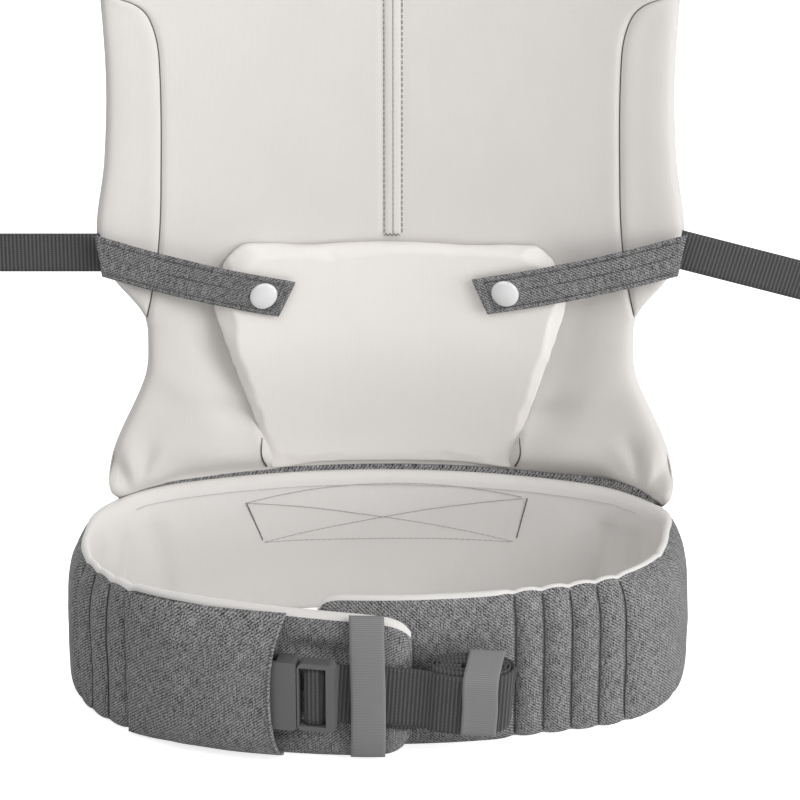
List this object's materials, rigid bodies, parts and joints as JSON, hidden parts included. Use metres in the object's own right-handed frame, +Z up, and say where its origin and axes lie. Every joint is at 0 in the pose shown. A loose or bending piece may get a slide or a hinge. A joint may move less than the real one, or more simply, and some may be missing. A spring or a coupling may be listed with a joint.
{
  "type": "soft baby carrier",
  "caption": "Soft baby carrier with a padded waist belt, curved back panel, fold-down infant insert, snap tabs, shoulder loops and buckles.",
  "frame": {"origin": "under the middle of the panel, in the belt's back wall and at its lower edge", "axes": "+X across the carrier to the right of a viewer facing the lining, -Y towards the wearer and the belt's buckle, +Z up the panel"},
  "size_m": [0.81, 0.2389, 0.61],
  "materials": {
    "melange_fabric": "dark grey melange woven, fine twill",
    "foam": "open foam padding, not seen",
    "belt_jersey": "light jersey",
    "panel_jersey": "off-white brushed jersey",
    "elastic": "ribbed elastic",
    "piping": "dark woven edge piping",
    "webbing": "ribbed polyester webbing",
    "snap_white": "smooth domed",
    "snap_metal": "plain",
    "buckle_plastic": "satin moulded"
  },
  "bodies": {
    "belt": {"belt_outer_fabric": "melange_fabric", "belt_foam": "foam", "belt_lining": "belt_jersey", "belt_piping": "piping", "buckle_pocket": "melange_fabric", "waist_keeper": "elastic", "socket_anchor_webbing": "webbing", "waist_webbing": "webbing", "waist_plug": "buckle_plastic"},
    "waist_socket_body": {"waist_socket": "buckle_plastic"},
    "waist_prong_upper_body": {"waist_prong_upper": "buckle_plastic"},
    "waist_prong_lower_body": {"waist_prong_lower": "buckle_plastic"},
    "waist_tail": {"waist_webbing_tail": "webbing"},
    "roll_keeper_body": {"roll_keeper": "elastic"},
    "panel": {"panel_outer_fabric": "melange_fabric", "panel_foam": "foam", "panel_lining_centre": "panel_jersey", "panel_lining_left": "panel_jersey", "panel_lining_right": "panel_jersey", "centre_seam_tape": "belt_jersey"},
    "insert": {"insert_cover_front": "panel_jersey", "insert_foam": "foam", "insert_cover_back": "belt_jersey", "insert_snap_studs": "snap_metal"},
    "tab_left_body": {"tab_left": "melange_fabric", "snap_cap_left": "snap_white"},
    "tab_right_body": {"tab_right": "melange_fabric", "snap_cap_right": "snap_white"},
    "head_support": {"head_support_cover": "melange_fabric", "head_support_foam": "foam", "head_support_lining": "panel_jersey"},
    "left_loop": {"left_pad_cover": "melange_fabric", "left_pad_foam": "foam", "left_pad_lining": "belt_jersey", "left_side_webbing": "webbing", "left_buckle_plug": "buckle_plastic", "left_pad_webbing": "webbing", "left_webbing_tail": "webbing"},
    "left_socket": {"left_buckle_socket": "buckle_plastic"},
    "left_prong_outer_body": {"left_prong_outer": "buckle_plastic"},
    "left_prong_inner_body": {"left_prong_inner": "buckle_plastic"},
    "right_loop": {"right_pad_cover": "melange_fabric", "right_pad_foam": "foam", "right_pad_lining": "belt_jersey", "right_side_webbing": "webbing", "right_buckle_plug": "buckle_plastic", "right_pad_webbing": "webbing", "right_webbing_tail": "webbing"},
    "right_socket": {"right_buckle_socket": "buckle_plastic"},
    "right_prong_outer_body": {"right_prong_outer": "buckle_plastic"},
    "right_prong_inner_body": {"right_prong_inner": "buckle_plastic"},
    "left_chest": {"left_chest_slider": "buckle_plastic", "left_chest_webbing": "webbing", "left_chest_plug": "buckle_plastic"},
    "right_chest": {"right_chest_slider": "buckle_plastic", "right_chest_webbing": "webbing", "right_chest_socket": "buckle_plastic"}
  },
  "joints": [
    {"name": "buckle_release", "type": "slide", "parent": "belt", "child": "waist_socket_body", "axis": [-0.9848, 0.1736, 0], "range_m": [0, 0.024]},
    {"name": "waist_prong_upper_squeeze", "type": "hinge", "parent": "belt", "child": "waist_prong_upper_body", "pos_m": [-0.05854, -0.22204, 0.0636], "axis": [-0.1736, -0.9848, 0], "range_deg": [0, 7]},
    {"name": "waist_prong_lower_squeeze", "type": "hinge", "parent": "belt", "child": "waist_prong_lower_body", "pos_m": [-0.05854, -0.22204, 0.0318], "axis": [0.1736, 0.9848, 0], "range_deg": [0, 7]},
    {"name": "tail_pull", "type": "slide", "parent": "belt", "child": "waist_tail", "axis": [0.9981, 0, -0.061], "range_m": [0, 0.03]},
    {"name": "roll_keeper_slide", "type": "slide", "parent": "waist_tail", "child": "roll_keeper_body", "axis": [0.9981, 0, -0.061], "range_m": [0, 0.03]},
    {"name": "panel_fold", "type": "hinge", "parent": "belt", "child": "panel", "pos_m": [0, -0.0405, 0.0985], "axis": [1, 0, 0], "range_deg": [0, 90]},
    {"name": "insert_fold", "type": "hinge", "parent": "panel", "child": "insert", "pos_m": [0, -0.0235, 0.101], "axis": [-1, 0, 0], "range_deg": [-80, 0]},
    {"name": "tab_left_swing", "type": "hinge", "parent": "panel", "child": "tab_left_body", "pos_m": [-0.187, -0.04272, 0.2638], "axis": [0, 0, -1], "range_deg": [0, 160]},
    {"name": "tab_right_swing", "type": "hinge", "parent": "panel", "child": "tab_right_body", "pos_m": [0.187, -0.04272, 0.2638], "axis": [0, 0, 1], "range_deg": [0, 160]},
    {"name": "head_support_fold", "type": "hinge", "parent": "panel", "child": "head_support", "pos_m": [0, 0.0066, 0.446], "axis": [1, 0, 0], "range_deg": [-160, 0]},
    {"name": "left_loop_swing", "type": "hinge", "parent": "panel", "child": "left_loop", "pos_m": [-0.14, -0.0335, 0.44], "axis": [0.2623, 0, 0.965], "range_deg": [-30, 75]},
    {"name": "left_buckle_release", "type": "slide", "parent": "left_loop", "child": "left_socket", "axis": [0, 0, 1], "range_m": [0, 0.016]},
    {"name": "left_prong_outer_squeeze", "type": "hinge", "parent": "left_loop", "child": "left_prong_outer_body", "pos_m": [-0.3794, -0.0335, 0.3772], "axis": [0, 1, 0], "range_deg": [0, 8]},
    {"name": "left_prong_inner_squeeze", "type": "hinge", "parent": "left_loop", "child": "left_prong_inner_body", "pos_m": [-0.3606, -0.0335, 0.3772], "axis": [0, -1, 0], "range_deg": [0, 8]},
    {"name": "left_chest_slide", "type": "slide", "parent": "left_loop", "child": "left_chest", "axis": [0, 0, 1], "range_m": [-0.012, 0.012]},
    {"name": "right_loop_swing", "type": "hinge", "parent": "panel", "child": "right_loop", "pos_m": [0.14, -0.0335, 0.44], "axis": [0.2623, 0, -0.965], "range_deg": [-30, 75]},
    {"name": "right_buckle_release", "type": "slide", "parent": "right_loop", "child": "right_socket", "axis": [0, 0, 1], "range_m": [0, 0.016]},
    {"name": "right_prong_outer_squeeze", "type": "hinge", "parent": "right_loop", "child": "right_prong_outer_body", "pos_m": [0.3794, -0.0335, 0.3772], "axis": [0, -1, 0], "range_deg": [0, 8]},
    {"name": "right_prong_inner_squeeze", "type": "hinge", "parent": "right_loop", "child": "right_prong_inner_body", "pos_m": [0.3606, -0.0335, 0.3772], "axis": [0, 1, 0], "range_deg": [0, 8]},
    {"name": "right_chest_slide", "type": "slide", "parent": "right_loop", "child": "right_chest", "axis": [0, 0, 1], "range_m": [-0.012, 0.012]}
  ],
  "couplings": [
    {"joint": "tab_left_swing", "follows": "insert_fold", "ratio": -2},
    {"joint": "tab_right_swing", "follows": "insert_fold", "ratio": -2}
  ]
}
